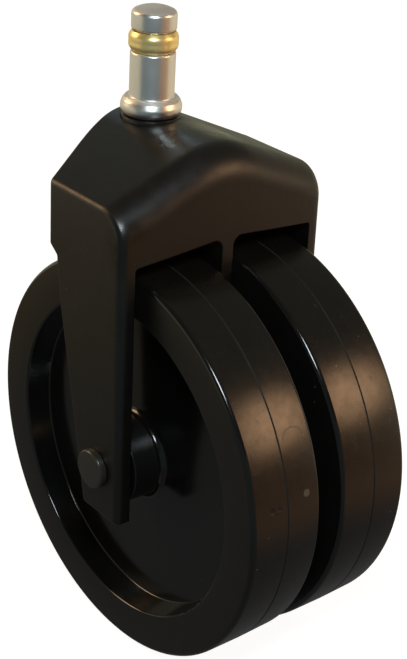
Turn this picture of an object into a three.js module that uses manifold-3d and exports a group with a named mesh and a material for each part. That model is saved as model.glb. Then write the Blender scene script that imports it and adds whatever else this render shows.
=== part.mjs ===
// Twin-wheel chair caster: a grip-ring stem turns in a moulded yoke that carries two wheels on one axle.
// Millimetres. Origin at the centre of the stem's flat top end; +Z up, +X towards the trailing wheels,
// +Y along the axle. The left wheel is on the -Y side.
import * as THREE from "three";
import { mergeVertices } from "three/addons/utils/BufferGeometryUtils.js";
import Module from "manifold-3d";

const wasm = await Module();
wasm.setup();

// ---------------------------------------------------------------- driving dimensions
// Heights are Z values below the stem's top end.
const STEM_RADIUS = 5.45; // slides into a 7/16 in socket
const CAP_BOTTOM = -5.4; // head above the ring groove
const CAP_EDGE = 0.6; // rounding of the head's lower edge
const CAP_RADIUS = 5.42;
const CAP_FLAT = 1.6; // radius of the flat middle of the head's top
const CAP_DOME = 6.4; // curve from the flat to the head's edge
const CAP_DOME_END = 65; // degrees above the horizontal where the dome meets the edge rounding
const CAP_SIDE_TOP = -1.88; // top of the head's straight side
const CAP_ROUNDING = 1.2;
const GROOVE_BOTTOM = -10.6;
const GROOVE_RADIUS = 4.6;
const GROOVE_EDGE = 0.45; // rounding of the pin's edge below the groove
const SHOULDER = -21.5; // flat ledge that stops against the chair leg
const SHOULDER_RADIUS = 6.3;
const SHOULDER_EDGE = 0.15;
const COLLAR_RADIUS = 7.4;
const COLLAR_BEAD = -24; // height of the bead's widest circle
const COLLAR_BASE = -25.85;
const COLLAR_ROUNDING = 1.7;
const SHANK_RADIUS = 5; // part of the stem inside the yoke
const SHANK_END = -45.5;

const RING_HEIGHT = 4.7;
const RING_BOTTOM = -10.35;
const RING_INNER = 4.8;
const RING_OUTER = 5.97;
const RING_EDGE = 5.05; // radius of the bulge's two ends
const RING_SPLIT = 1.4; // width of the cut that lets the ring spring

const WHEEL_RADIUS = 50.8; // 4 in wheel
const WHEEL_WIDTH = 20.2;
const WHEEL_GAP = 6.7; // clear distance between the two wheels
const TREAD_DRAFT = 0.15; // the tread is this much smaller at its edges than at its middle
const TREAD_ROUNDING = 1.2;
const RECESS_RADIUS = 40.3;
const RECESS_FLOOR_RADIUS = 39.1;
const OUTER_RECESS = 6.3;
const INNER_RECESS = 8;
const HUB_RADIUS = 10.3;
const AXLE_X = 22.3; // trail of the axle behind the swivel axis
const AXLE_Z = -103.4;
const AXLE_RADIUS = 4;
const AXLE_HEAD_RADIUS = 4.9;
const AXLE_HEAD_PROUD = 1.9;

const LEG_OUTER = 30.2; // half width over the two outer legs
const LEG_INNER = 26.3;
const LEG_BOTTOM = -115.8;
const WEB_HALF = 1.6; // half thickness of the middle leg between the wheels
const ROOF_TOP = -26;
const ROOF_FLAT = 0.5; // half width of the level strip along the middle of the roof
const ROOF_BLEND = 4.5; // half length of the curve from level to slope
const ROOF_EDGE = -36.4; // where the roof meets the outer faces
const FRONT_X = 30.25; // front face at FRONT_Z, at the outer faces
const FRONT_Z = -44;
const FRONT_BULGE = 0.8; // the front face stands this much further out at its middle
const FRONT_LEAN = 1 / 70; // forward lean of the front face towards the leg ends
const FRONT_FILLET = 8.2;
const BACK_X = -9.1; // rearmost point of the yoke, on its middle plane
const BACK_CURVE_HALF = 17; // half width of the rounded stretch of the back
const BACK_EDGE_X = 1.9; // back of the yoke at its outer faces
const BACK_FILLET = 0.9;
const SKIRT_BOTTOM = -52;
const SKIRT_STEP = 2; // height of the step from the skirt to the leg
const LEG_TOP_X = 4.6; // back edge of the leg below the step
const LEG_BEND_X = 6.2; // where the back edge turns towards the axle
const LEG_BEND_Z = -65.5;
const LEG_BOTTOM_X = 17.2;
const EDGE_ROUNDING = 1;
const CORNER_TOP = 2.4; // rounding of the vertical front corners, at the roof
const CORNER_BOTTOM = 1.5; // and at the leg ends
const WALL = 3.2;
const BAY_INNER_RADIUS = 57.2; // wheel space beside the middle leg
const BAY_OUTER_RADIUS = 54.9; // wheel space beside the outer leg
const BAY_ROUNDING = 2.4;
const BOSS_RADIUS = 9.2; // hollow boss around the stem

const SOCKET_RADIUS = 6.6;
const SOCKET_FLOOR = -46.6;
const FLANGE_RADIUS = 7.2;
const FLANGE_SEAT = -27.6;
const CLIP_BOTTOM = -40.7;
const CLIP_HEIGHT = 1;

const RUNNING_GAP = 0.08; // between a shaft and the bush that it turns in
const SEAT_GAP = 0.1; // between a piece and the seat it is pressed into

const FINE = 56; // facets round the wheels
const MEDIUM = 32; // facets round the stem
const COARSE = 24; // facets round small pieces

const MATERIALS = {
  zinc: { color: 0xb9b7ae, roughness: 0.28, metalness: 1 },
  brass: { color: 0xcf9a3a, roughness: 0.3, metalness: 1 },
  nylon: { color: 0x1d1a17, roughness: 0.45, metalness: 0 },
  wheel: { color: 0x17150f, roughness: 0.5, metalness: 0 },
  acetal: { color: 0x26272a, roughness: 0.3, metalness: 0 },
  blackSteel: { color: 0x1c1b1c, roughness: 0.38, metalness: 0.8 },
  springSteel: { color: 0x8c8f94, roughness: 0.35, metalness: 1 },
};

// ---------------------------------------------------------------- solids and booleans
function toSolid(geometry) {
  const bare = geometry.clone();
  bare.deleteAttribute("normal");
  bare.deleteAttribute("uv");
  const merged = mergeVertices(bare, 1e-4);
  return new wasm.Manifold(
    new wasm.Mesh({
      numProp: 3,
      vertProperties: new Float32Array(merged.attributes.position.array),
      triVerts: new Uint32Array(merged.index.array),
    }),
  );
}

function toGeometry(solid) {
  const mesh = solid.getMesh();
  const geometry = new THREE.BufferGeometry();
  geometry.setAttribute("position", new THREE.BufferAttribute(mesh.vertProperties, 3));
  geometry.setIndex(new THREE.BufferAttribute(mesh.triVerts, 1));
  geometry.computeVertexNormals();
  return geometry;
}

function cutFrom(geometry, ...tools) {
  const rest = tools.reduce((solid, tool) => solid.subtract(toSolid(tool)), toSolid(geometry));
  return toGeometry(rest);
}

// ---------------------------------------------------------------- profiles and round pieces
function point(x, y) {
  return new THREE.Vector2(x, y);
}

// Points on a circle from one angle to another, both in degrees.
function arc(x, y, radius, from, to, steps) {
  return Array.from({ length: steps + 1 }, (_, i) => {
    const angle = THREE.MathUtils.degToRad(from + ((to - from) * i) / steps);
    return point(x + radius * Math.cos(angle), y + radius * Math.sin(angle));
  });
}

// A round piece about Z from a profile of (radius, height).
function turnedOnZ(profile, facets) {
  return new THREE.LatheGeometry(profile, facets).rotateX(Math.PI / 2);
}

// A round piece about the axle from a profile of (radius, distance along +Y). side -1 faces it towards -Y.
function turnedOnAxle(profile, facets, side = 1) {
  const geometry = new THREE.LatheGeometry(profile, facets);
  if (side < 0) geometry.rotateX(Math.PI);
  return geometry.translate(AXLE_X, 0, AXLE_Z);
}

function closed(profile) {
  return [...profile, profile[0].clone()];
}

function tubeProfile(inner, outer, bottom, top) {
  return closed([point(inner, bottom), point(outer, bottom), point(outer, top), point(inner, top)]);
}

function rodProfile(radius, bottom, top) {
  return [point(0, bottom), point(radius, bottom), point(radius, top), point(0, top)];
}

// ---------------------------------------------------------------- stem and its fittings
function stem() {
  const clipTop = CLIP_BOTTOM + CLIP_HEIGHT;
  const clipSeat = SHANK_RADIUS - 0.8;
  return turnedOnZ(
    [
      point(0, SHANK_END),
      point(2.2, SHANK_END + 0.25),
      point(3.9, SHANK_END + 0.9),
      point(SHANK_RADIUS, SHANK_END + 2.1),
      point(SHANK_RADIUS, CLIP_BOTTOM - SEAT_GAP),
      point(clipSeat, CLIP_BOTTOM - SEAT_GAP),
      point(clipSeat, clipTop + SEAT_GAP),
      point(SHANK_RADIUS, clipTop + SEAT_GAP),
      point(SHANK_RADIUS, COLLAR_BASE),
      ...arc(
        COLLAR_RADIUS - COLLAR_ROUNDING, COLLAR_BASE + COLLAR_ROUNDING, COLLAR_ROUNDING,
        -90, -15, 4,
      ),
      point(COLLAR_RADIUS, COLLAR_BEAD),
      point(COLLAR_RADIUS - 0.1, COLLAR_BEAD + 0.9),
      point(COLLAR_RADIUS - 0.45, COLLAR_BEAD + COLLAR_ROUNDING),
      point(SHOULDER_RADIUS + 0.2, SHOULDER - SHOULDER_EDGE),
      point(SHOULDER_RADIUS, SHOULDER),
      point(STEM_RADIUS + SHOULDER_EDGE, SHOULDER),
      point(STEM_RADIUS, SHOULDER + SHOULDER_EDGE),
      ...arc(STEM_RADIUS - GROOVE_EDGE, GROOVE_BOTTOM - GROOVE_EDGE, GROOVE_EDGE, 0, 90, 2),
      point(GROOVE_RADIUS, GROOVE_BOTTOM),
      point(GROOVE_RADIUS, CAP_BOTTOM),
      ...arc(CAP_RADIUS - CAP_EDGE, CAP_BOTTOM + CAP_EDGE, CAP_EDGE, -90, 0, 2),
      ...arc(CAP_RADIUS - CAP_ROUNDING, CAP_SIDE_TOP, CAP_ROUNDING, 0, CAP_DOME_END, 4),
      ...arc(CAP_FLAT, -CAP_DOME, CAP_DOME, CAP_DOME_END, 90, 3),
      point(0, 0),
    ],
    MEDIUM,
  );
}

// Spring ring with a bulged outside, cut through on the side away from the wheels.
function gripRing() {
  const middle = RING_BOTTOM + RING_HEIGHT / 2;
  const rise = RING_OUTER - RING_EDGE;
  const bulge = ((RING_HEIGHT / 2) ** 2 + rise ** 2) / (2 * rise);
  const reach = THREE.MathUtils.radToDeg(Math.asin(RING_HEIGHT / 2 / bulge));
  const ring = turnedOnZ(
    closed([
      point(RING_INNER, RING_BOTTOM),
      ...arc(RING_OUTER - bulge, middle, bulge, -reach, reach, 8),
      point(RING_INNER, RING_BOTTOM + RING_HEIGHT),
    ]),
    MEDIUM,
  );
  const cut = new THREE.BoxGeometry(3 * RING_OUTER, RING_SPLIT, 2 * RING_HEIGHT);
  return cutFrom(ring, cut.translate(-1.5 * RING_OUTER, 0, middle));
}

function upperSwivelBush() {
  const bore = SHANK_RADIUS + RUNNING_GAP;
  const outside = SOCKET_RADIUS - SEAT_GAP;
  const flangeBottom = FLANGE_SEAT + SEAT_GAP / 2;
  const bottom = CLIP_BOTTOM + CLIP_HEIGHT + 0.25;
  return turnedOnZ(
    closed([
      point(bore, bottom),
      point(outside, bottom),
      point(outside, flangeBottom),
      point(FLANGE_RADIUS, flangeBottom),
      point(FLANGE_RADIUS, ROOF_TOP + 0.05),
      point(bore, ROOF_TOP + 0.05),
    ]),
    MEDIUM,
  );
}

function lowerSwivelBush() {
  const bottom = SOCKET_FLOOR + SEAT_GAP / 2;
  const bore = SHANK_RADIUS + RUNNING_GAP;
  const outside = SOCKET_RADIUS - SEAT_GAP;
  return turnedOnZ(tubeProfile(bore, outside, bottom, CLIP_BOTTOM - 2 * SEAT_GAP), MEDIUM);
}

// Snap ring in the shank's groove, with a mouth wide enough to spring over it.
function retainingClip() {
  const inner = SHANK_RADIUS - 0.7;
  const outer = SOCKET_RADIUS - 0.35;
  const ring = turnedOnZ(tubeProfile(inner, outer, CLIP_BOTTOM, CLIP_BOTTOM + CLIP_HEIGHT), COARSE);
  const mouth = new THREE.BoxGeometry(2 * SOCKET_RADIUS, 5, 4 * CLIP_HEIGHT);
  return cutFrom(ring, mouth.translate(SOCKET_RADIUS, 0, CLIP_BOTTOM));
}

// Hardened disc on the socket's floor that the stem's domed end turns on.
function pivotDisc() {
  const bottom = SOCKET_FLOOR + SEAT_GAP / 2;
  return turnedOnZ(rodProfile(SHANK_RADIUS - 0.6, bottom, SHANK_END - SEAT_GAP), COARSE);
}

// ---------------------------------------------------------------- yoke
function roofHeight(y) {
  const away = Math.abs(y) - ROOF_FLAT;
  const slope = (ROOF_TOP - ROOF_EDGE) / (LEG_OUTER - ROOF_FLAT - ROOF_BLEND);
  if (away <= 0) return ROOF_TOP;
  if (away < 2 * ROOF_BLEND) return ROOF_TOP - (slope * away * away) / (4 * ROOF_BLEND);
  return ROOF_TOP - slope * (away - ROOF_BLEND);
}

// The front bows out a little towards the middle and leans forward towards the leg ends.
function frontFace(y, z) {
  return FRONT_X + FRONT_BULGE * (1 - (y / LEG_OUTER) ** 2) + (FRONT_Z - z) * FRONT_LEAN;
}

// The back is straight from each outer face inwards, then bows round the stem.
function backFace(y) {
  const half = Math.abs(y);
  const slope = (BACK_EDGE_X - BACK_X) / (LEG_OUTER - BACK_CURVE_HALF / 2);
  if (half < BACK_CURVE_HALF) return BACK_X + (slope * half * half) / (2 * BACK_CURVE_HALF);
  return BACK_X + slope * (half - BACK_CURVE_HALF / 2);
}

// How far an edge with this rounding has pulled in at the station y.
function pullIn(y, rounding) {
  const into = Math.abs(y) - (LEG_OUTER - rounding);
  return into > 0 ? rounding - Math.sqrt(Math.max(0, rounding * rounding - into * into)) : 0;
}

// Side outline of the hood and leg at the station y, anticlockwise seen from -Y.
function outerSection(y) {
  const edge = pullIn(y, EDGE_ROUNDING);
  const corner = pullIn(y, CORNER_TOP);
  const top = roofHeight(y) - edge;
  const bottom = LEG_BOTTOM + edge;
  const back = backFace(y) + edge;
  const fillet = FRONT_FILLET - corner;
  return [
    point(LEG_BOTTOM_X + edge, bottom),
    point(frontFace(y, bottom) - pullIn(y, CORNER_BOTTOM), bottom),
    ...arc(frontFace(y, top - fillet) - corner - fillet, top - fillet, fillet, 0, 90, 7),
    ...arc(back + BACK_FILLET, top - BACK_FILLET, BACK_FILLET, 90, 180, 4),
    point(back, SKIRT_BOTTOM),
    point(LEG_TOP_X + edge, SKIRT_BOTTOM - SKIRT_STEP),
    point(LEG_BEND_X + edge, LEG_BEND_Z),
  ];
}

// The same outline with the walls taken off, open downwards past the leg ends.
function innerSection(y) {
  const top = roofHeight(y) - WALL;
  const below = LEG_BOTTOM - 10;
  const back = backFace(y) + WALL;
  const front = frontFace(y, FRONT_Z) - WALL;
  const fillet = FRONT_FILLET - WALL;
  return [
    point(back, below),
    point(front, below),
    ...arc(front - fillet, top - fillet, fillet, 0, 90, 3),
    ...arc(back + 1.5, top - 1.5, 1.5, 90, 180, 2),
  ];
}

// Solid through the same outline at each station, from the lowest y to the highest.
function loft(section, stations) {
  const rings = stations.map(section);
  const count = rings[0].length;
  const positions = rings.flatMap((ring, s) => ring.flatMap((p) => [p.x, stations[s], p.y]));
  const index = [];
  for (let s = 0; s < rings.length - 1; s++)
    for (let i = 0; i < count; i++) {
      const a = s * count + i;
      const b = s * count + ((i + 1) % count);
      index.push(a, b + count, b, a, a + count, b + count);
    }
  const last = (rings.length - 1) * count;
  for (const [a, b, c] of THREE.ShapeUtils.triangulateShape(rings[0], [])) index.push(a, b, c);
  for (const [a, b, c] of THREE.ShapeUtils.triangulateShape(rings.at(-1), []))
    index.push(last + a, last + c, last + b);
  const geometry = new THREE.BufferGeometry();
  geometry.setAttribute("position", new THREE.Float32BufferAttribute(positions, 3));
  geometry.setIndex(index);
  return geometry;
}

// Round space for one wheel, a little larger beside the middle leg than beside the outer leg.
function wheelSpace(side) {
  const r = BAY_ROUNDING;
  return turnedOnAxle(
    [
      point(0, WEB_HALF),
      ...arc(BAY_INNER_RADIUS - r, WEB_HALF + r, r, -90, 0, 4),
      ...arc(BAY_OUTER_RADIUS - r, LEG_INNER - r, r, 0, 90, 4),
      point(0, LEG_INNER),
    ],
    2 * FINE,
    side,
  );
}

// Hollow under the roof on one side, around the stem boss and a cross rib.
function roofHollow(side) {
  const near = [WEB_HALF, 3.5, 5.5, 7.5, 9.5, 13, 17, LEG_INNER];
  const stations = side > 0 ? near : near.map((y) => -y).reverse();
  const tall = ROOF_TOP - LEG_BOTTOM;
  const boss = turnedOnZ(rodProfile(BOSS_RADIUS, SKIRT_BOTTOM - 8, ROOF_TOP), MEDIUM);
  const rib = new THREE.BoxGeometry(WALL, 2 * LEG_OUTER, tall).translate(0, 0, SKIRT_BOTTOM + tall / 2);
  return cutFrom(loft(innerSection, stations), boss, rib);
}

function yoke() {
  const half = [0, 1.5, 3, 4.5, 6, 7.5, 9.5, 13, 17, 22, 27, 27.8, 28.5, 29.2, 29.6, 29.9, 30.1, LEG_OUTER];
  const stations = [...half.slice(1).map((y) => -y).reverse(), ...half];
  const socket = turnedOnZ(
    [
      point(0, SOCKET_FLOOR),
      point(SOCKET_RADIUS, SOCKET_FLOOR),
      point(SOCKET_RADIUS, FLANGE_SEAT),
      point(FLANGE_RADIUS + SEAT_GAP, FLANGE_SEAT),
      point(FLANGE_RADIUS + SEAT_GAP, ROOF_TOP + 1),
      point(0, ROOF_TOP + 1),
    ],
    MEDIUM,
  );
  const bore = turnedOnAxle(rodProfile(AXLE_RADIUS + SEAT_GAP / 2, -2 * LEG_OUTER, 2 * LEG_OUTER), COARSE);
  const hollows = [-1, 1].flatMap((side) => [wheelSpace(side), roofHollow(side)]);
  return cutFrom(loft(outerSection, stations), ...hollows, socket, bore);
}

// ---------------------------------------------------------------- axle and wheels
function axle() {
  const headTop = -LEG_OUTER - 0.05;
  const headEnd = -LEG_OUTER - AXLE_HEAD_PROUD;
  const end = LEG_OUTER + 1.2;
  return turnedOnAxle(
    [
      point(0, headEnd),
      point(AXLE_HEAD_RADIUS - 0.5, headEnd),
      point(AXLE_HEAD_RADIUS - 0.15, headEnd + 0.15),
      point(AXLE_HEAD_RADIUS, headEnd + 0.5),
      point(AXLE_HEAD_RADIUS, headTop),
      point(AXLE_RADIUS, headTop),
      point(AXLE_RADIUS, end - 0.4),
      point(AXLE_RADIUS - 0.4, end),
      point(0, end),
    ],
    COARSE,
  );
}

// Push-on cap over the plain end of the axle.
function axleCap() {
  const seat = LEG_OUTER + 0.05;
  const outside = AXLE_HEAD_RADIUS + 0.3;
  const inside = AXLE_RADIUS + SEAT_GAP / 2;
  return turnedOnAxle(
    [
      point(0, seat + 1.3),
      point(inside, seat + 1.3),
      point(inside, seat),
      point(outside, seat),
      point(outside, seat + 1),
      point(outside - 0.3, seat + 1.6),
      point(outside - 1.2, seat + 2),
      point(0, seat + 2.1),
    ],
    COARSE,
  );
}

const WHEEL_INNER_FACE = WHEEL_GAP / 2;
const WHEEL_OUTER_FACE = WHEEL_INNER_FACE + WHEEL_WIDTH;
const HUB_INNER_END = WEB_HALF + 0.85;
const HUB_OUTER_END = LEG_INNER - 0.65;
const BUSH_RADIUS = 5.6;
const BUSH_FLANGE_RADIUS = 7.6;
const BUSH_FLANGE = 1.2;
const BUSH_FLANGE_PROUD = 0.25; // the bush flange stands this far out of the hub
const BUSH_LENGTH = 9;

// One-piece wheel: crowned tread, a deep recess on each face and a plain hub.
function wheel(side) {
  const edgeRadius = WHEEL_RADIUS - TREAD_DRAFT - TREAD_ROUNDING;
  const middle = (WHEEL_INNER_FACE + WHEEL_OUTER_FACE) / 2;
  const innerFloor = WHEEL_INNER_FACE + INNER_RECESS;
  const outerFloor = WHEEL_OUTER_FACE - OUTER_RECESS;
  const pocket = BUSH_FLANGE_RADIUS + SEAT_GAP;
  const pocketDepth = BUSH_FLANGE - BUSH_FLANGE_PROUD + SEAT_GAP / 2;
  const bore = BUSH_RADIUS + SEAT_GAP / 2;
  return turnedOnAxle(
    closed([
      point(bore, HUB_INNER_END + pocketDepth),
      point(pocket, HUB_INNER_END + pocketDepth),
      point(pocket, HUB_INNER_END),
      point(HUB_RADIUS, HUB_INNER_END),
      point(HUB_RADIUS + 0.3, innerFloor),
      point(RECESS_FLOOR_RADIUS, innerFloor),
      point(RECESS_RADIUS, WHEEL_INNER_FACE),
      ...arc(edgeRadius, WHEEL_INNER_FACE + TREAD_ROUNDING, TREAD_ROUNDING, -90, 0, 3),
      point(WHEEL_RADIUS, middle),
      ...arc(edgeRadius, WHEEL_OUTER_FACE - TREAD_ROUNDING, TREAD_ROUNDING, 0, 90, 3),
      point(RECESS_RADIUS, WHEEL_OUTER_FACE),
      point(RECESS_FLOOR_RADIUS, outerFloor),
      point(HUB_RADIUS + 0.8, outerFloor),
      point(HUB_RADIUS + 0.1, outerFloor + 0.8),
      point(HUB_RADIUS, HUB_OUTER_END - 0.5),
      point(HUB_RADIUS - 0.5, HUB_OUTER_END),
      point(pocket, HUB_OUTER_END),
      point(pocket, HUB_OUTER_END - pocketDepth),
      point(bore, HUB_OUTER_END - pocketDepth),
    ]),
    FINE,
    side,
  );
}

// Flanged sleeve pressed into one end of a hub. outward 1 puts the flange on the leg side of the hub.
function wheelBush(side, outward) {
  const hubEnd = outward > 0 ? HUB_OUTER_END : HUB_INNER_END;
  const flangeFace = hubEnd + outward * BUSH_FLANGE_PROUD;
  const flangeBack = flangeFace - outward * BUSH_FLANGE;
  const sleeveEnd = flangeFace - outward * BUSH_LENGTH;
  const bore = AXLE_RADIUS + RUNNING_GAP;
  const profile = closed([
    point(bore, flangeFace),
    point(bore, sleeveEnd),
    point(BUSH_RADIUS, sleeveEnd),
    point(BUSH_RADIUS, flangeBack),
    point(BUSH_FLANGE_RADIUS, flangeBack),
    point(BUSH_FLANGE_RADIUS, flangeFace),
  ]);
  return turnedOnAxle(outward > 0 ? profile : profile.reverse(), COARSE, side);
}

// Thin washer between the middle leg and a wheel's inner bush.
function spacerWasher(side) {
  const profile = tubeProfile(AXLE_RADIUS + SEAT_GAP / 2, 8.2, WEB_HALF + 0.06, WEB_HALF + 0.46);
  return turnedOnAxle(profile, COARSE, side);
}

// ---------------------------------------------------------------- assembly
const caster = new THREE.Group();

function addPiece(name, geometry, finish) {
  const mesh = new THREE.Mesh(geometry, new THREE.MeshStandardMaterial(MATERIALS[finish]));
  mesh.name = name;
  caster.add(mesh);
}

addPiece("stem", stem(), "zinc");
addPiece("grip_ring", gripRing(), "brass");
addPiece("retaining_clip", retainingClip(), "springSteel");
addPiece("yoke", yoke(), "nylon");
addPiece("upper_swivel_bush", upperSwivelBush(), "acetal");
addPiece("lower_swivel_bush", lowerSwivelBush(), "acetal");
addPiece("pivot_disc", pivotDisc(), "springSteel");
addPiece("axle", axle(), "blackSteel");
addPiece("axle_cap", axleCap(), "blackSteel");
for (const [hand, side] of [["left", -1], ["right", 1]]) {
  addPiece(`${hand}_wheel`, wheel(side), "wheel");
  addPiece(`${hand}_outer_bush`, wheelBush(side, 1), "acetal");
  addPiece(`${hand}_inner_bush`, wheelBush(side, -1), "acetal");
  addPiece(`${hand}_spacer_washer`, spacerWasher(side), "springSteel");
}

export default caster;
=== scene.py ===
"""Looks of a twin-wheel chair caster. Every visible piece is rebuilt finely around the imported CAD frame."""

import math

import bmesh
import bpy
from mathutils import Matrix, Vector


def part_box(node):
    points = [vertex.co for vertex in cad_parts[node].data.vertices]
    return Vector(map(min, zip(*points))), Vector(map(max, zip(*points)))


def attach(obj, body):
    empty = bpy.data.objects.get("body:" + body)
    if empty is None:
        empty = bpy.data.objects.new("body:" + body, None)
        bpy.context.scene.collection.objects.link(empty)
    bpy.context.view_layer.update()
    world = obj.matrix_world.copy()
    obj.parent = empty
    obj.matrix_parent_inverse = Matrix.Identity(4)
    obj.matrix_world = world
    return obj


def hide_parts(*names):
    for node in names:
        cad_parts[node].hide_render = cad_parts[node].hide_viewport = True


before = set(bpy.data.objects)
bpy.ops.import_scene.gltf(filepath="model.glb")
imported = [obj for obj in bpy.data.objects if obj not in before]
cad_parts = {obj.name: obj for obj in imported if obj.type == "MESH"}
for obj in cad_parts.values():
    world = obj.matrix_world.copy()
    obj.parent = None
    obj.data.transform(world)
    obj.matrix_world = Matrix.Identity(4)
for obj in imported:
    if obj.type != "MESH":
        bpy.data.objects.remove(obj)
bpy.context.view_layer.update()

# ---------------------------------------- sizes in millimetres, as in the CAD source
MM = 0.001
wheel_low, wheel_high = (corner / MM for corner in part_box("left_wheel"))
AXLE_X = (wheel_low.x + wheel_high.x) / 2
AXLE_Z = (wheel_low.z + wheel_high.z) / 2
WHEEL_RADIUS = (wheel_high.z - wheel_low.z) / 2
FLOOR_Z = wheel_low.z

WHEEL_INNER_FACE = 3.35
WHEEL_OUTER_FACE = 23.55
GROOVE_HALF = 0.22  # half width and depth of the parting line
WHEEL_MIDDLE = (WHEEL_INNER_FACE + WHEEL_OUTER_FACE) / 2
TREAD_DRAFT = 0.15  # how much smaller the tread is at its edges
TREAD_ROUNDING = 1.2
RECESS_RADIUS = 40.3
RECESS_FLOOR_RADIUS = 39.1
OUTER_RECESS = 6.3
INNER_RECESS = 8
HUB_RADIUS = 10.3
AXLE_RADIUS = 4
AXLE_HEAD_RADIUS = 4.9
AXLE_HEAD_FACE = -32.1
AXLE_END = 31.4
CAP_WIDEST = 5.2  # radius of the axle's cap

STEM_RADIUS = 5.45
HEAD_RADIUS = 5.42
HEAD_BOTTOM = -5.4
HEAD_DOME = 6.4
GROOVE_BOTTOM = -10.6
GROOVE_RADIUS = 4.6
SHOULDER = -21.5
COLLAR_RADIUS = 7.42
COLLAR_BASE = -25.85
SHANK_RADIUS = 5
SHANK_END = -45.5
CLIP_SEAT_LOW, CLIP_SEAT_HIGH = -40.8, -39.6
CLIP_SEAT_RADIUS = 4.2
RING_LOW, RING_HIGH = -10.35, -5.65
RING_INNER = 4.8
RING_BULGE = 6.02
RING_EDGE = 5.2
RING_HALF_SPLIT = 0.7

LEG_OUTER = 30.2
LEG_INNER = 26.3
LEG_BOTTOM = -115.8
WEB_HALF = 1.6
ROOF_TOP = -26
ROOF_FLAT = 0.5
ROOF_BLEND = 4.5
ROOF_EDGE = -36.4
FRONT_X = 30.25
FRONT_Z = -44
FRONT_BULGE = 0.8
FRONT_LEAN = 1 / 70
FRONT_FILLET = 8.2
BACK_X = -9.1
BACK_CURVE_HALF = 17
BACK_EDGE_X = 1.9
BACK_FILLET = 0.9
SKIRT_BOTTOM = -52
SKIRT_STEP = 2
LEG_TOP_X = 4.6
LEG_BEND_X = 6.2
LEG_BEND_Z = -65.5
LEG_BOTTOM_X = 17.2
EDGE_ROUNDING = 1
CORNER_TOP = 2.4  # rounding of the vertical front corners, at the roof
CORNER_BOTTOM = 1.5  # and at the leg ends
WALL = 3.2
BAY_INNER_RADIUS = 57.2
BAY_OUTER_RADIUS = 54.9
BAY_ROUNDING = 2.4
BOSS_RADIUS = 9.2
SOCKET_RADIUS = 6.6
SOCKET_FLOOR = -46.6
FLANGE_RADIUS = 7.2
FLANGE_SEAT = -27.6

HUB_INNER_END = WEB_HALF + 0.85
HUB_OUTER_END = LEG_INNER - 0.65
BUSH_RADIUS = 5.6
BUSH_FLANGE_RADIUS = 7.6
BUSH_FLANGE = 1.2
BUSH_PROUD = 0.25
BUSH_LENGTH = 9
RUNNING_GAP = 0.08  # between a shaft and the bush that it turns in
SPACER_RADIUS = 8.2
SPACER_LOW, SPACER_HIGH = WEB_HALF + 0.06, WEB_HALF + 0.46
UPPER_BUSH_LOW, UPPER_BUSH_STEP, UPPER_BUSH_HIGH = -39.45, -27.55, -25.95
UPPER_BUSH_RADIUS = 6.5

WHEEL_STEPS = 192  # facets round a wheel
SMALL_STEPS = 96  # facets round a small piece


# ---------------------------------------- outlines
def rounded(corners, steps=6):
    """A closed outline from (x, y, rounding) corners. All rounded corners get the same number of points."""
    outline = []
    count = len(corners)
    for i, (x, y, radius) in enumerate(corners):
        here = Vector((x, y))
        if radius <= 0:
            outline.append(here)
            continue
        before = (Vector(corners[i - 1][:2]) - here).normalized()
        after = (Vector(corners[(i + 1) % count][:2]) - here).normalized()
        half = math.acos(max(-1, min(1, before.dot(after)))) / 2
        centre = here + (before + after).normalized() * (radius / math.sin(half))
        start = here + before * (radius / math.tan(half)) - centre
        end = here + after * (radius / math.tan(half)) - centre
        turn = start.angle_signed(end)
        for k in range(steps + 1):
            spin = -turn * k / steps
            outline.append(centre + Vector((
                start.x * math.cos(spin) - start.y * math.sin(spin),
                start.x * math.sin(spin) + start.y * math.cos(spin),
            )))
    return outline


SHARP_ANGLE = math.radians(38)


def finish_mesh(name, bm):
    """Makes a smooth-shaded object from a bmesh in millimetres. Edges over SHARP_ANGLE stay crisp."""
    bmesh.ops.remove_doubles(bm, verts=bm.verts, dist=1e-5)
    bmesh.ops.recalc_face_normals(bm, faces=bm.faces)
    bmesh.ops.scale(bm, vec=(MM, MM, MM), verts=bm.verts)
    mesh = bpy.data.meshes.new(name)
    bm.to_mesh(mesh)
    bm.free()
    mesh.shade_smooth()
    mesh.set_sharp_from_angle(angle=SHARP_ANGLE)
    piece = bpy.data.objects.new(name, mesh)
    bpy.context.scene.collection.objects.link(piece)
    return piece


def revolve(name, outline, steps, place, sweep=2 * math.pi, start=0.0):
    """A round piece from an outline of (radius, height). place(radius, height, angle) gives a point."""
    bm = bmesh.new()
    whole = abs(sweep - 2 * math.pi) < 1e-9
    rings = []
    for s in range(steps if whole else steps + 1):
        angle = start + sweep * s / steps
        rings.append([bm.verts.new(place(p[0], p[1], angle)) for p in outline])
    count = len(outline)
    for s in range(steps):
        ring, following = rings[s], rings[(s + 1) % len(rings)]
        for i in range(count):
            j = (i + 1) % count
            if outline[i][0] < 1e-9 and outline[j][0] < 1e-9:
                continue
            corners = [ring[i], ring[j], following[j], following[i]]
            if outline[i][0] < 1e-9:
                corners = corners[:3]
            elif outline[j][0] < 1e-9:
                corners = [ring[i], ring[j], following[i]]
            bm.faces.new(corners)
    if not whole:
        bm.faces.new(rings[0])
        bm.faces.new(list(reversed(rings[-1])))
    return finish_mesh(name, bm)


def about_stem(radius, height, angle):
    return radius * math.cos(angle), radius * math.sin(angle), height


def about_axle(side):
    return lambda radius, height, angle: (
        AXLE_X + radius * math.cos(angle),
        side * height,
        AXLE_Z + radius * math.sin(angle),
    )


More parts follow.
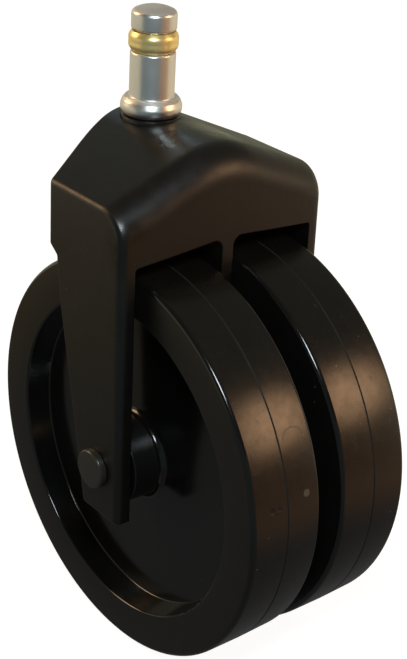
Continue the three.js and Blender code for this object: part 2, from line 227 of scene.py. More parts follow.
def loft(name, section, stations):
    """A solid through the (x, z) outlines that section(y) gives."""
    bm = bmesh.new()
    rings = [[bm.verts.new((p[0], y, p[1])) for p in section(y)] for y in stations]
    count = len(rings[0])
    for ring, following in zip(rings, rings[1:]):
        for i in range(count):
            j = (i + 1) % count
            bm.faces.new((ring[i], ring[j], following[j], following[i]))
    bm.faces.new(rings[0])
    bm.faces.new(list(reversed(rings[-1])))
    return finish_mesh(name, bm)


def cut(piece, tools):
    """Takes the tools out of the piece, then removes them from the scene."""
    for tool in tools:
        step = piece.modifiers.new(tool.name, "BOOLEAN")
        step.operation = "DIFFERENCE"
        step.solver = "EXACT"
        step.object = tool
    graph = bpy.context.evaluated_depsgraph_get()
    mesh = bpy.data.meshes.new_from_object(piece.evaluated_get(graph))
    piece.modifiers.clear()
    piece.data = mesh
    for tool in tools:
        bpy.data.objects.remove(tool)
    mesh.shade_smooth()
    mesh.set_sharp_from_angle(angle=SHARP_ANGLE)
    return piece


# ---------------------------------------- shader building
class Shader:
    """A node tree with short ways to add the nodes that the finishes below use."""

    def __init__(self, tree):
        self.tree = tree
        tree.nodes.clear()

    def node(self, kind, settings=None, **inputs):
        made = self.tree.nodes.new(kind)
        for key, value in (settings or {}).items():
            setattr(made, key, value)
        for key, value in inputs.items():
            self.feed(made, key.replace("_", " "), value)
        return made

    def feed(self, made, key, value):
        socket = made.inputs[int(key)] if key.isdigit() else made.inputs[key]
        if isinstance(value, bpy.types.NodeSocket):
            self.tree.links.new(value, socket)
        else:
            socket.default_value = value

    def math(self, operation, *values):
        made = self.node("ShaderNodeMath", {"operation": operation})
        for i, value in enumerate(values):
            self.feed(made, str(i), value)
        return made.outputs[0]

    def vector(self, operation, *values):
        made = self.node("ShaderNodeVectorMath", {"operation": operation})
        for i, value in enumerate(values):
            self.feed(made, str(i), value)
        return made.outputs[1] if operation in ("DOT_PRODUCT", "LENGTH", "DISTANCE") else made.outputs[0]

    def ramp(self, value, low, high, to_low=0.0, to_high=1.0):
        made = self.node("ShaderNodeMapRange", {"interpolation_type": "SMOOTHSTEP"}, Value=value)
        for key, number in (("From Min", low), ("From Max", high), ("To Min", to_low), ("To Max", to_high)):
            made.inputs[key].default_value = number
        return made.outputs[0]

    def noise(self, coordinates, size_mm, detail=3.0, stretch=(1, 1, 1)):
        """Noise from 0 to 1 with features of about size_mm, drawn out along an axis of small stretch."""
        scaled = self.vector("MULTIPLY", coordinates, Vector(stretch) / (size_mm * MM))
        made = self.node("ShaderNodeTexNoise", None, Vector=scaled, Scale=1.0, Detail=detail)
        return made.outputs["Fac"]

    def specks(self, coordinates, spacing_mm, radius, share):
        """Small round specks: about one per spacing_mm in a share of the cells."""
        scaled = self.vector("MULTIPLY", coordinates, Vector((1, 1, 1)) / (spacing_mm * MM))
        cells = self.node("ShaderNodeTexVoronoi", None, Vector=scaled, Scale=1.0)
        inside = self.ramp(cells.outputs["Distance"], radius * 0.4, radius, 1.0, 0.0)
        picked = self.node("ShaderNodeSeparateColor", None, Color=cells.outputs["Color"])
        chosen = self.math("LESS_THAN", picked.outputs[0], share)
        return self.math("MULTIPLY", inside, chosen)

    def mix(self, amount, first, second):
        made = self.node("ShaderNodeMix", {"data_type": "RGBA"})
        self.feed(made, "0", amount)
        for key, value in (("6", first), ("7", second)):
            self.feed(made, key, value)
        return made.outputs[2]


def rgb(red, green, blue):
    return red, green, blue, 1.0


def finish_material(name, build):
    material = bpy.data.materials.new(name)
    material.use_nodes = True
    shader = Shader(material.node_tree)
    surface = shader.node("ShaderNodeBsdfPrincipled")
    shader.node("ShaderNodeOutputMaterial", None, Surface=surface.outputs[0])
    coordinates = shader.node("ShaderNodeTexCoord").outputs["Object"]
    build(shader, surface, coordinates)
    return material


def moulded(dark, light, gloss, grain, grain_height, dust=0.25, edge=0.0, marks=None):
    """Black moulded plastic: blotchy sheen, fine grain, pale specks, and corners softened by edge."""

    def build(shader, surface, at):
        broad = shader.noise(at, 9.0, 4.0)
        fine = shader.noise(at, grain, 2.0)
        scuffs = shader.noise(at, 1.3, 5.0, (1, 1, 0.18))
        colour = shader.mix(broad, rgb(*dark), rgb(*light))
        speck = shader.specks(at, 4.0, 0.06, dust)
        colour = shader.mix(shader.math("MULTIPLY", speck, 0.45), colour, rgb(0.22, 0.20, 0.17))
        rough = shader.math("ADD", gloss - 0.05, shader.math("MULTIPLY", broad, 0.08))
        rough = shader.math("ADD", rough, shader.ramp(scuffs, 0.62, 0.75, 0.0, 0.06))
        height = shader.math("ADD", fine, shader.math("MULTIPLY", shader.noise(at, 2.2, 2.0), 1.5))
        if marks:
            colour, rough, height = marks(shader, at, colour, rough, height)
        bump = shader.node("ShaderNodeBump", None, Height=height, Strength=1.0, Distance=grain_height * MM)
        if edge:
            soft = shader.node("ShaderNodeBevel", {"samples": 6}, Radius=edge * MM)
            shader.feed(bump, "Normal", soft.outputs[0])
        shader.feed(surface, "Base Color", colour)
        shader.feed(surface, "Roughness", rough)
        shader.feed(surface, "Normal", bump.outputs[0])
        surface.inputs["IOR"].default_value = 1.5

    return build


def handled_hood(shader, at, colour, rough, height):
    """The upper front corners and the ridge of the hood are rubbed smoother than the rest, in patches."""
    mirrored = shader.vector("ABSOLUTE", at)
    corner = shader.vector("DISTANCE", mirrored, (29 * MM, 29 * MM, 43 * MM))
    ridge = shader.vector("DISTANCE", mirrored, (15 * MM, 5.5 * MM, 26.7 * MM))
    rough = shader.math("SUBTRACT", rough, shader.ramp(corner, 3 * MM, 9 * MM, 0.14, 0.0))
    rough = shader.math("SUBTRACT", rough, shader.ramp(ridge, 4 * MM, 10 * MM, 0.13, 0.0))
    patches = shader.math("SUBTRACT", shader.noise(at, 3.0, 6.0), 0.5)
    rough = shader.math("ADD", rough, shader.math("MULTIPLY", patches, 0.22))
    return colour, rough, height


TREAD_PITS = ((72.1, -18.0, -93.4, 0.8), (72.1, -15.9, -93.6, 0.5), (72.3, -16.9, -94.6, 0.35))


def tread_marks(shader, at, colour, rough, height):
    """The left tread's gate mark, pits and curved scratch, and both treads' parting line and sheen."""

    def near(x, y, z):
        return shader.vector("DISTANCE", at, (x * MM, y * MM, z * MM))

    gate = shader.ramp(near(71.89, -7.69, -92.39), 0.75 * MM, 1.05 * MM, 1.0, 0.0)
    colour = shader.mix(shader.math("MULTIPLY", gate, 0.22), colour, rgb(0.30, 0.30, 0.24))
    for x, y, z, radius in TREAD_PITS:
        pit = shader.ramp(near(x, y, z), radius * 0.6 * MM, radius * MM, 1.0, 0.0)
        height = shader.math("SUBTRACT", height, shader.math("MULTIPLY", pit, 25.0))
        rough = shader.math("ADD", rough, shader.math("MULTIPLY", pit, 0.6))
        colour = shader.mix(pit, colour, rgb(0.0008, 0.0008, 0.0007))
    off_ring = shader.math("ABSOLUTE", shader.math("SUBTRACT", near(67.4, -9.1, -80.6), 3.1 * MM))
    scratch = shader.ramp(off_ring, 0.06 * MM, 0.16 * MM, 1.0, 0.0)
    upper = shader.node("ShaderNodeSeparateXYZ", None, Vector=at).outputs[2]
    scratch = shader.math("MULTIPLY", scratch, shader.ramp(upper, -80.4 * MM, -79.6 * MM))
    colour = shader.mix(shader.math("MULTIPLY", scratch, 0.10), colour, rgb(0.30, 0.26, 0.20))
    height = shader.math("SUBTRACT", height, shader.math("MULTIPLY", scratch, 4.0))
    across = shader.node("ShaderNodeSeparateXYZ", None, Vector=shader.vector("ABSOLUTE", at)).outputs[1]
    parting = shader.math("ABSOLUTE", shader.math("SUBTRACT", across, WHEEL_MIDDLE * MM))
    groove = shader.ramp(parting, 0.20 * MM, 0.26 * MM, 1.0, 0.0)
    rough = shader.math("ADD", rough, shader.math("MULTIPLY", groove, 0.5))
    colour = shader.mix(groove, colour, rgb(0.0012, 0.0010, 0.0008))
    mottle = shader.noise(at, 2.4, 4.0)
    rough = shader.math("ADD", rough, shader.math("MULTIPLY", shader.math("SUBTRACT", mottle, 0.5), 0.16))
    return colour, rough, height


def plated(base, warm, gloss, lines, line_height, mottle=0.0, metal=1.0):
    """Plated steel: turning lines, cloudy colour and a mottled skin, duller where it faces up."""

    def build(shader, surface, at):
        cloud = shader.noise(at, 3.0, 4.0)
        turned = shader.noise(at, 0.22, 3.0, lines)
        scratch = shader.noise(at, 0.9, 5.0, (1, 1, 0.08))
        colour = shader.mix(cloud, rgb(*base), rgb(*warm))
        pits = shader.specks(at, 1.4, 0.09, 0.2)
        colour = shader.mix(shader.math("MULTIPLY", pits, 0.5), colour, rgb(0.25, 0.24, 0.22))
        rough = shader.math("ADD", gloss, shader.math("MULTIPLY", cloud, 0.08))
        rough = shader.math("ADD", rough, shader.ramp(scratch, 0.6, 0.7, 0.0, 0.08))
        normal = shader.node("ShaderNodeNewGeometry").outputs["Normal"]
        up = shader.node("ShaderNodeSeparateXYZ", None, Vector=normal).outputs[2]
        rough = shader.math("ADD", rough, shader.ramp(up, 0.55, 0.85, 0.0, mottle * 22))
        skin = shader.math("MULTIPLY", shader.noise(at, 0.4, 2.0), mottle / line_height)
        height = shader.math("ADD", turned, skin)
        bump = shader.node("ShaderNodeBump", None, Height=height, Strength=1.0, Distance=line_height * MM)
        shader.feed(surface, "Base Color", colour)
        shader.feed(surface, "Roughness", rough)
        shader.feed(surface, "Normal", bump.outputs[0])
        surface.inputs["Metallic"].default_value = metal

    return build


AROUND_Z = (0.03, 0.03, 1.0)
AROUND_Y = (0.03, 1.0, 0.03)

zinc = finish_material(
    "zinc_plate",
    plated((0.78, 0.79, 0.78), (0.84, 0.82, 0.76), 0.29, AROUND_Z, 0.004, mottle=0.014),
)
brass = finish_material(
    "brass_plate",
    plated((1.0, 0.76, 0.30), (1.0, 0.82, 0.40), 0.28, AROUND_Z, 0.003, mottle=0.004, metal=0.8),
)
steel = finish_material(
    "spring_steel", plated((0.36, 0.37, 0.38), (0.30, 0.29, 0.27), 0.32, AROUND_Z, 0.004)
)
washer_steel = finish_material(
    "washer_steel", plated((0.45, 0.45, 0.44), (0.38, 0.37, 0.35), 0.30, AROUND_Y, 0.004)
)
yoke_plastic = finish_material("yoke_nylon", moulded(
    (0.0024, 0.0020, 0.0015), (0.0040, 0.0031, 0.0022), 0.42,
    grain=0.30, grain_height=0.020, dust=0.4, edge=0.35, marks=handled_hood,
))
tread_plastic = finish_material("wheel_tread", moulded(
    (0.0042, 0.0037, 0.0028), (0.0062, 0.0054, 0.0042), 0.27,
    grain=0.32, grain_height=0.006, dust=0.35, marks=tread_marks,
))
face_plastic = finish_material("wheel_face", moulded(
    (0.0040, 0.0037, 0.0030), (0.0056, 0.0051, 0.0042), 0.36, grain=0.30, grain_height=0.006, dust=0.2,
))
recess_plastic = finish_material("wheel_recess", moulded(
    (0.0034, 0.0034, 0.0030), (0.0050, 0.0049, 0.0042), 0.15, grain=0.40, grain_height=0.003, dust=0.3,
))
edge_plastic = finish_material("wheel_edges", moulded(
    (0.0040, 0.0038, 0.0032), (0.0056, 0.0052, 0.0044), 0.14, grain=0.40, grain_height=0.001, dust=0.05,
))
acetal = finish_material("acetal", moulded(
    (0.008, 0.008, 0.0085), (0.011, 0.011, 0.0115), 0.30, grain=0.25, grain_height=0.004, dust=0.1,
))
black_steel = finish_material("black_steel", moulded(
    (0.0230, 0.0215, 0.0160), (0.0330, 0.0305, 0.0240), 0.27,
    grain=0.25, grain_height=0.008, dust=0.3, edge=0.1,
))


# ---------------------------------------- yoke
def roof_height(y):
    away = abs(y) - ROOF_FLAT
    slope = (ROOF_TOP - ROOF_EDGE) / (LEG_OUTER - ROOF_FLAT - ROOF_BLEND)
    if away <= 0:
        return ROOF_TOP
    if away < 2 * ROOF_BLEND:
        return ROOF_TOP - slope * away * away / (4 * ROOF_BLEND)
    return ROOF_TOP - slope * (away - ROOF_BLEND)


def front_face(y, z):
    return FRONT_X + FRONT_BULGE * (1 - (y / LEG_OUTER) ** 2) + (FRONT_Z - z) * FRONT_LEAN


def back_face(y):
    half = abs(y)
    slope = (BACK_EDGE_X - BACK_X) / (LEG_OUTER - BACK_CURVE_HALF / 2)
    if half < BACK_CURVE_HALF:
        return BACK_X + slope * half * half / (2 * BACK_CURVE_HALF)
    return BACK_X + slope * (half - BACK_CURVE_HALF / 2)


def pull_in(y, rounding):
    """How far an edge with this rounding has pulled in at the station y."""
    into = abs(y) - (LEG_OUTER - rounding)
    return rounding - math.sqrt(max(0, rounding * rounding - into * into)) if into > 0 else 0


def outer_section(y):
    edge = pull_in(y, EDGE_ROUNDING)
    high, low = pull_in(y, CORNER_TOP), pull_in(y, CORNER_BOTTOM)
    top, bottom = roof_height(y) - edge, LEG_BOTTOM + edge
    back = back_face(y) + edge
    return rounded([
        (LEG_BOTTOM_X + edge, bottom, 0.8),
        (front_face(y, bottom) - low, bottom, 0.8),
        (front_face(y, top) - high, top, FRONT_FILLET - high),
        (back, top, BACK_FILLET),
        (back, SKIRT_BOTTOM, 0.6),
        (LEG_TOP_X + edge, SKIRT_BOTTOM - SKIRT_STEP, 0.8),
        (LEG_BEND_X + edge, LEG_BEND_Z, 40),
    ], 12)


def inner_section(y):
    top = roof_height(y) - WALL
    below = LEG_BOTTOM - 10
    back, front = back_face(y) + WALL, front_face(y, FRONT_Z) - WALL
    return rounded([
        (back, below, 0),
        (front, below, 0),
        (front, top, FRONT_FILLET - WALL),
        (back, top, 1.5),
    ])


def outer_stations():
    """Close together where the roof bends and over the outer edges, so that both stay smooth."""
    rim = {
        LEG_OUTER - rounding * (1 - math.sin(math.radians(turn)))
        for rounding in (EDGE_ROUNDING, CORNER_TOP)
        for turn in range(0, 91, 9)
    }
    bend = {i * 0.75 for i in range(1, 20)}
    slope = {17, 19, 21, 23, 25, 27, LEG_OUTER}
    half = sorted({0.01 * round(100 * y) for y in rim} | bend | slope)
    return [-y for y in reversed(half)] + [0] + half


def box_between(name, low, high):
    bm = bmesh.new()
    bmesh.ops.create_cube(bm, size=1)
    size = [h - l for l, h in zip(low, high)]
    middle = [(h + l) / 2 for l, h in zip(low, high)]
    bmesh.ops.scale(bm, vec=size, verts=bm.verts)
    bmesh.ops.translate(bm, vec=middle, verts=bm.verts)
    return finish_mesh(name, bm)


def wheel_space(side):
    outline = rounded([
        (0, WEB_HALF, 0),
        (BAY_INNER_RADIUS, WEB_HALF, BAY_ROUNDING),
        (BAY_OUTER_RADIUS, LEG_INNER, 1.0),
        (0, LEG_INNER, 0),
    ], 8)
    return revolve(f"wheel_space_{side}", outline, 2 * WHEEL_STEPS, about_axle(side))


def roof_hollow(side):
    near = [WEB_HALF + 0.05, 5, 6.5, 8, 9.5, 11, 13, 16, 20, LEG_INNER - 0.05]
    stations = near if side > 0 else [-y for y in reversed(near)]
    hollow = loft(f"roof_hollow_{side}", inner_section, stations)
    below = SKIRT_BOTTOM - 8
    boss_outline = [(0, below), (BOSS_RADIUS, below), (BOSS_RADIUS, 0), (0, 0)]
    boss = revolve(f"boss_{side}", boss_outline, SMALL_STEPS, about_stem)
    rib = box_between(f"rib_{side}", (-WALL / 2, -LEG_OUTER, SKIRT_BOTTOM), (WALL / 2, LEG_OUTER, 0))
    return cut(hollow, [boss, rib])


def make_yoke():
    socket_outline = [
        (0, SOCKET_FLOOR), (SOCKET_RADIUS, SOCKET_FLOOR), (SOCKET_RADIUS, FLANGE_SEAT),
        (FLANGE_RADIUS + 0.1, FLANGE_SEAT), (FLANGE_RADIUS + 0.1, ROOF_TOP + 1), (0, ROOF_TOP + 1),
    ]
    socket = revolve("socket", socket_outline, SMALL_STEPS, about_stem)
    past_leg = LEG_OUTER + 4.8
    bore_radius = AXLE_RADIUS + 0.05
    bore_outline = [(0, -past_leg), (bore_radius, -past_leg), (bore_radius, past_leg), (0, past_leg)]
    bore = revolve("axle_bore", bore_outline, SMALL_STEPS, about_axle(1))
    tools = [wheel_space(-1), wheel_space(1), roof_hollow(-1), roof_hollow(1), socket, bore]
    return cut(loft("yoke_moulding", outer_section, outer_stations()), tools)


# ---------------------------------------- wheels
def make_wheel(hand, side):
    pocket = BUSH_FLANGE_RADIUS + 0.1
    depth = BUSH_FLANGE - BUSH_PROUD + 0.05
    bore = BUSH_RADIUS + 0.05
    edge = WHEEL_RADIUS - TREAD_DRAFT
    floor_in, floor_out = WHEEL_INNER_FACE + INNER_RECESS, WHEEL_OUTER_FACE - OUTER_RECESS
    outline = rounded([
        (bore, HUB_INNER_END + depth, 0),
        (pocket, HUB_INNER_END + depth, 0),
        (pocket, HUB_INNER_END, 0.15),
        (HUB_RADIUS, HUB_INNER_END, 0.6),
        (HUB_RADIUS + 0.3, floor_in, 1.0),
        (RECESS_FLOOR_RADIUS, floor_in, 1.0),
        (RECESS_RADIUS, WHEEL_INNER_FACE, 0.6),
        (edge, WHEEL_INNER_FACE, TREAD_ROUNDING),
        (WHEEL_RADIUS - 0.01, WHEEL_MIDDLE - GROOVE_HALF, 0.05),
        (WHEEL_RADIUS - GROOVE_HALF, WHEEL_MIDDLE, 0.05),
        (WHEEL_RADIUS - 0.01, WHEEL_MIDDLE + GROOVE_HALF, 0.05),
        (edge, WHEEL_OUTER_FACE, TREAD_ROUNDING),
        (RECESS_RADIUS, WHEEL_OUTER_FACE, 0.6),
        (RECESS_FLOOR_RADIUS, floor_out, 0.5),
        (HUB_RADIUS + 0.2, floor_out, 1.8),
        (HUB_RADIUS, HUB_OUTER_END, 0.25),
        (pocket, HUB_OUTER_END, 0.15),
        (pocket, HUB_OUTER_END - depth, 0),
        (bore, HUB_OUTER_END - depth, 0),
    ])
    piece = revolve(f"{hand}_wheel_moulding", outline, WHEEL_STEPS, about_axle(side))
    for material in (tread_plastic, face_plastic, recess_plastic, edge_plastic):
        piece.data.materials.append(material)
    face, recess, polished_edge = 1, 2, 3
    for polygon in piece.data.polygons:
        centre = polygon.center / MM
        radius = math.hypot(centre.x - AXLE_X, centre.z - AXLE_Z)
        inside = min(abs(centre.y) - WHEEL_INNER_FACE, WHEEL_OUTER_FACE - abs(centre.y))
        on_rim = abs(radius - RECESS_RADIUS) < 0.6 and inside < 0.6
        on_floor_edge = abs(radius - RECESS_FLOOR_RADIUS + 0.2) < 0.28
        if on_rim or on_floor_edge:
            polygon.material_index = polished_edge
        elif radius < HUB_RADIUS + 0.19:
            polygon.material_index = face
        elif radius < RECESS_RADIUS:
            polygon.material_index = recess
        elif inside < TREAD_ROUNDING and radius > edge - TREAD_ROUNDING:
            polygon.material_index = polished_edge
        elif inside < 0.1:
            polygon.material_index = face
    return piece


# ---------------------------------------- stem and small pieces
def make_stem():
    outline = rounded([
        (0, SHANK_END, 0),
        (2.2, SHANK_END + 0.25, 0),
        (3.9, SHANK_END + 0.9, 0.5),
        (SHANK_RADIUS, SHANK_END + 2.1, 0.5),
        (SHANK_RADIUS, CLIP_SEAT_LOW, 0.1),
        (CLIP_SEAT_RADIUS, CLIP_SEAT_LOW, 0.05),
        (CLIP_SEAT_RADIUS, CLIP_SEAT_HIGH, 0.05),
        (SHANK_RADIUS, CLIP_SEAT_HIGH, 0.1),
        (SHANK_RADIUS, COLLAR_BASE, 0.2),
        (COLLAR_RADIUS, COLLAR_BASE, 1.7),
        (COLLAR_RADIUS + 0.03, SHOULDER - 1.9, 1.5),
        (7.0, SHOULDER - 0.7, 1.0),
        (6.35, SHOULDER, 0.15),
        (STEM_RADIUS, SHOULDER + 0.05, 0.35),
        (STEM_RADIUS, GROOVE_BOTTOM, 0.45),
        (GROOVE_RADIUS, GROOVE_BOTTOM, 0.05),
        (GROOVE_RADIUS, HEAD_BOTTOM, 0.05),
        (HEAD_RADIUS, HEAD_BOTTOM, 0.6),
        (HEAD_RADIUS, -1.12, 1.2),
        (3.02, 0, HEAD_DOME),
        (0, 0, 0),
    ], 7)
    return revolve("stem_turned", outline, SMALL_STEPS, about_stem)


def make_grip_ring():
    outline = rounded([
        (RING_INNER, RING_LOW, 0.1),
        (RING_EDGE, RING_LOW, 0.2),
        (RING_BULGE, -9.2, 1.8),
        (RING_BULGE - 0.12, -8.0, 0.3),
        (RING_BULGE, -6.8, 1.8),
        (RING_EDGE, RING_HIGH, 0.2),
        (RING_INNER, RING_HIGH, 0.1),
    ], 8)
    half_split = math.asin(RING_HALF_SPLIT / 6.0)
    sweep = 2 * math.pi - 2 * half_split
    return revolve("grip_ring_formed", outline, SMALL_STEPS, about_stem, sweep, math.pi + half_split)


def make_axle():
    outline = rounded([
        (0, AXLE_HEAD_FACE, 0),
        (AXLE_HEAD_RADIUS, AXLE_HEAD_FACE, 0.6),
        (AXLE_HEAD_RADIUS, -LEG_OUTER - 0.05, 0.1),
        (AXLE_RADIUS, -LEG_OUTER - 0.05, 0),
        (AXLE_RADIUS, AXLE_END, 0.4),
        (0, AXLE_END, 0),
    ], 8)
    return revolve("axle_pin", outline, SMALL_STEPS, about_axle(1))


def make_axle_cap():
    outline = rounded([
        (0, AXLE_END + 0.15, 0),
        (AXLE_RADIUS + 0.05, AXLE_END + 0.15, 0.1),
        (AXLE_RADIUS + 0.05, LEG_OUTER + 0.05, 0),
        (CAP_WIDEST, LEG_OUTER + 0.05, 0.1),
        (CAP_WIDEST, AXLE_END + 0.5, 0.8),
        (3.6, AXLE_END + 0.95, 0.6),
        (0, AXLE_END + 0.95, 0),
    ], 8)
    return revolve("axle_cap_pressed", outline, SMALL_STEPS, about_axle(1))


def make_wheel_bush(hand, side, outward):
    hub_end = HUB_OUTER_END if outward > 0 else HUB_INNER_END
    face = hub_end + outward * BUSH_PROUD
    back = face - outward * BUSH_FLANGE
    end = face - outward * BUSH_LENGTH
    outline = rounded([
        (AXLE_RADIUS + RUNNING_GAP, face, 0.2),
        (AXLE_RADIUS + RUNNING_GAP, end, 0.1),
        (BUSH_RADIUS, end, 0.3),
        (BUSH_RADIUS, back, 0),
        (BUSH_FLANGE_RADIUS, back, 0.05),
        (BUSH_FLANGE_RADIUS, face, 0.2),
    ], 5)
    place = "outer" if outward > 0 else "inner"
    return revolve(f"{hand}_{place}_bush_turned", outline, SMALL_STEPS, about_axle(side))


def make_spacer(hand, side):
    outline = rounded([
        (AXLE_RADIUS + 0.05, SPACER_LOW, 0.08),
        (SPACER_RADIUS, SPACER_LOW, 0.08),
        (SPACER_RADIUS, SPACER_HIGH, 0.08),
        (AXLE_RADIUS + 0.05, SPACER_HIGH, 0.08),
    ], 3)
    return revolve(f"{hand}_spacer_pressed", outline, SMALL_STEPS, about_axle(side))


def make_upper_bush():
    outline = rounded([
        (SHANK_RADIUS + RUNNING_GAP, UPPER_BUSH_LOW, 0.1),
        (UPPER_BUSH_RADIUS, UPPER_BUSH_LOW, 0.3),
        (UPPER_BUSH_RADIUS, UPPER_BUSH_STEP, 0),
        (FLANGE_RADIUS, UPPER_BUSH_STEP, 0.05),
        (FLANGE_RADIUS, UPPER_BUSH_HIGH, 0.15),
        (SHANK_RADIUS + RUNNING_GAP, UPPER_BUSH_HIGH, 0.1),
    ], 4)
    return revolve("upper_swivel_bush_turned", outline, SMALL_STEPS, about_stem)


def add(piece, node, body, material=None):
    """The piece stands for one CAD node: it takes its body and its finish, and the node's CAD mesh is hidden.
    """
    if material:
        piece.data.materials.append(material)
    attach(piece, body)
    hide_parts(node)


yoke = make_yoke()
add(yoke, "yoke", "yoke", yoke_plastic)
add(make_stem(), "stem", "stem", zinc)
add(make_grip_ring(), "grip_ring", "grip_ring", brass)
add(make_axle(), "axle", "yoke", black_steel)
add(make_axle_cap(), "axle_cap", "yoke", black_steel)
add(make_upper_bush(), "upper_swivel_bush", "yoke", acetal)
for hand, side in (("left", -1), ("right", 1)):
    add(make_wheel(hand, side), f"{hand}_wheel", f"{hand}_wheel")
    add(make_wheel_bush(hand, side, 1), f"{hand}_outer_bush", f"{hand}_wheel", acetal)
    add(make_wheel_bush(hand, side, -1), f"{hand}_inner_bush", f"{hand}_wheel", acetal)
    add(make_spacer(hand, side), f"{hand}_spacer_washer", "yoke", washer_steel)

for node, material in (("retaining_clip", steel), ("pivot_disc", steel), ("lower_swivel_bush", acetal)):
    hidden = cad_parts[node]
    hidden.data.materials.clear()
    hidden.data.materials.append(material)


# ---------------------------------------- floor, light and camera
def toward(azimuth, elevation):
    """Unit vector: azimuth 0 is -Y and 90 is +X, elevation is above the horizon."""
    a, e = math.radians(azimuth), math.radians(elevation)
    return Vector((math.sin(a) * math.cos(e), -math.cos(a) * math.cos(e), math.sin(e)))


FLOOR_HALF = 4000
floor_bm = bmesh.new()
bmesh.ops.create_grid(floor_bm, x_segments=1, y_segments=1, size=FLOOR_HALF)
bmesh.ops.translate(floor_bm, vec=(0, 0, FLOOR_Z), verts=floor_bm.verts)
floor = finish_mesh("floor", floor_bm)


def around(shader, level, behind, right, warm, left, front):
    """A colour by compass direction: behind, right, the warm wall, left, and the camera's side."""
    colour = rgb(*behind)
    for azimuth, low, high, tint in (
        (165, 0.66, 0.90, right), (-60, 0.3, 0.85, left), (110, 0.84, 0.95, warm), (43, 0.60, 0.69, front)
    ):
        share = shader.ramp(shader.vector("DOT_PRODUCT", level, toward(azimuth, 0)), low, high)
        colour = shader.mix(share, colour, rgb(*tint))
    return colour


def flattened(shader, direction):
    return shader.vector("NORMALIZE", shader.vector("MULTIPLY", direction, (1, 1, 0)))


# The floor is white to the camera. Reflections see it lit by the soft boxes, and dark close to the caster.
floor_material = bpy.data.materials.new("pale_floor")
floor_material.use_nodes = True
ground = Shader(floor_material.node_tree)
spot = ground.vector("MULTIPLY", ground.node("ShaderNodeNewGeometry").outputs["Position"], (1, 1, 0))
from_caster = ground.vector("SUBTRACT", spot, (0.012, 0.0, 0.0))
away = ground.vector("LENGTH", from_caster)
level = flattened(ground, from_caster)
FRONT_SIDE = (0.14, 0.17, 0.18)
WARM_WALL = (0.47, 0.27, 0.16)
FAR_WALL = (0.32, 0.19, 0.11)
MID_COLOURS = ((0.24, 0.24, 0.20), (0.44, 0.30, 0.19), WARM_WALL, (0.16, 0.13, 0.075), FRONT_SIDE)
FAR_COLOURS = ((0.44, 0.44, 0.30), (0.70, 0.59, 0.42), FAR_WALL, (0.56, 0.51, 0.39), FRONT_SIDE)
mid_floor = around(ground, level, *MID_COLOURS)
far_floor = around(ground, level, *FAR_COLOURS)
to_mid = ground.ramp(away, 0.10, 0.20)
to_far = ground.ramp(away, 0.25, 0.45)
near_floor = ground.mix(to_mid, rgb(0.11, 0.11, 0.11), mid_floor)
mirrored_colour = ground.mix(to_far, near_floor, far_floor)
mirrored = ground.node("ShaderNodeEmission", None, Color=mirrored_colour, Strength=1.0)
lit = ground.node("ShaderNodeBsdfDiffuse", None, Color=rgb(0.35, 0.35, 0.35))
glow = ground.node("ShaderNodeEmission", None, Color=rgb(1, 1, 1), Strength=0.93)
white = ground.node("ShaderNodeAddShader", None, **{"0": lit.outputs[0], "1": glow.outputs[0]})
seen = ground.node("ShaderNodeLightPath").outputs["Is Camera Ray"]
sides = {"1": mirrored.outputs[0], "2": white.outputs[0]}
chosen = ground.node("ShaderNodeMixShader", None, Fac=seen, **sides)
ground.node("ShaderNodeOutputMaterial", None, Surface=chosen.outputs[0])
floor.data.materials.append(floor_material)

world = bpy.data.worlds.new("studio")
bpy.context.scene.world = world
world.use_nodes = True
sky = Shader(world.node_tree)
direction = sky.node("ShaderNodeTexCoord").outputs["Generated"]
rise = sky.node("ShaderNodeSeparateXYZ", None, Vector=direction).outputs[2]
horizon = around(sky, flattened(sky, direction), *FAR_COLOURS)
high_behind = sky.ramp(sky.vector("DOT_PRODUCT", direction, toward(175, 50)), 0.5, 0.9)
overhead = sky.mix(high_behind, rgb(0.078, 0.075, 0.060), rgb(0.145, 0.140, 0.118))
total = sky.mix(sky.ramp(rise, 0.26, 0.33), horizon, overhead)
LAMPS = (  # azimuth, elevation, inner and outer half angle, colour
    (130, 22, 4, 15, (7.8, 4.55, 2.45)),  # warm soft box on the right
    (-58, 26, 8, 15, (7.8, 5.0, 2.7)),  # warm soft box on the left
    (-118, 32, 5, 11, (0.8, 1.1, 1.2)),  # cool light behind
)
for azimuth, elevation, inner, outer, colour in LAMPS:
    near = sky.vector("DOT_PRODUCT", direction, toward(azimuth, elevation))
    amount = sky.ramp(near, math.cos(math.radians(outer)), math.cos(math.radians(inner)))
    tint = sky.node("ShaderNodeVectorMath", {"operation": "SCALE"})
    tint.inputs[0].default_value = colour
    sky.tree.links.new(amount, tint.inputs["Scale"])
    total = sky.vector("ADD", total, tint.outputs[0])
seen = sky.node("ShaderNodeLightPath").outputs["Is Camera Ray"]
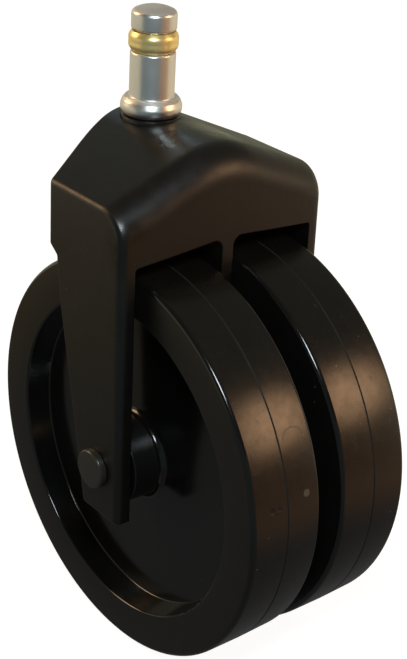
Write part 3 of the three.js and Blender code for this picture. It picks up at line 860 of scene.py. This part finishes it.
backdrop = sky.mix(seen, total, rgb(1.0, 1.0, 1.0))
light = sky.node("ShaderNodeBackground", None, Color=backdrop, Strength=1.0)
sky.node("ShaderNodeOutputWorld", None, Surface=light.outputs[0])

# A round cool light stands above the camera, as close to the caster as the camera is.
LAMP_RADIUS = 44
LAMP_BRIGHTNESS = 28
lamp_data = bpy.data.lights.new("round_light", "AREA")
lamp_data.shape = "DISK"
lamp_data.size = 2 * LAMP_RADIUS * MM
lamp_data.color = (0.81, 0.92, 1.0)
lamp_data.energy = LAMP_BRIGHTNESS * (math.pi * LAMP_RADIUS * MM) ** 2
lamp = bpy.data.objects.new("round_light", lamp_data)
bpy.context.scene.collection.objects.link(lamp)
LAMP_PLACE, LAMP_TARGET = Vector((204, -143, 148)), Vector((20, 0, -80))
lamp.location = LAMP_PLACE * MM
lamp.rotation_euler = (LAMP_PLACE - LAMP_TARGET).to_track_quat("Z", "Y").to_euler()
lamp.visible_camera = False

CAMERA_AZIMUTH, CAMERA_ELEVATION, CAMERA_ROLL = 49.543, 26.44, 3.342
CAMERA_DISTANCE = 372.77
CAMERA_TARGET = Vector((10.547, 11.536, -82.653))
back = toward(CAMERA_AZIMUTH, CAMERA_ELEVATION)
level = Vector((math.cos(math.radians(CAMERA_AZIMUTH)), math.sin(math.radians(CAMERA_AZIMUTH)), 0))
above = back.cross(level)
tilt = math.radians(CAMERA_ROLL)
across = math.cos(tilt) * level + math.sin(tilt) * above
upward = back.cross(across)
camera_data = bpy.data.cameras.new("photo_camera")
camera_data.sensor_width = 36
camera_data.lens = 79.381
camera_data.clip_start, camera_data.clip_end = 0.01, 20
camera = bpy.data.objects.new("photo_camera", camera_data)
bpy.context.scene.collection.objects.link(camera)
place = (CAMERA_TARGET + back * CAMERA_DISTANCE) * MM
camera.matrix_world = Matrix([(across[i], upward[i], back[i], place[i]) for i in range(3)] + [(0, 0, 0, 1)])
bpy.context.scene.camera = camera
bpy.context.scene.view_settings.view_transform = "Standard"

bpy.context.view_layer.update()
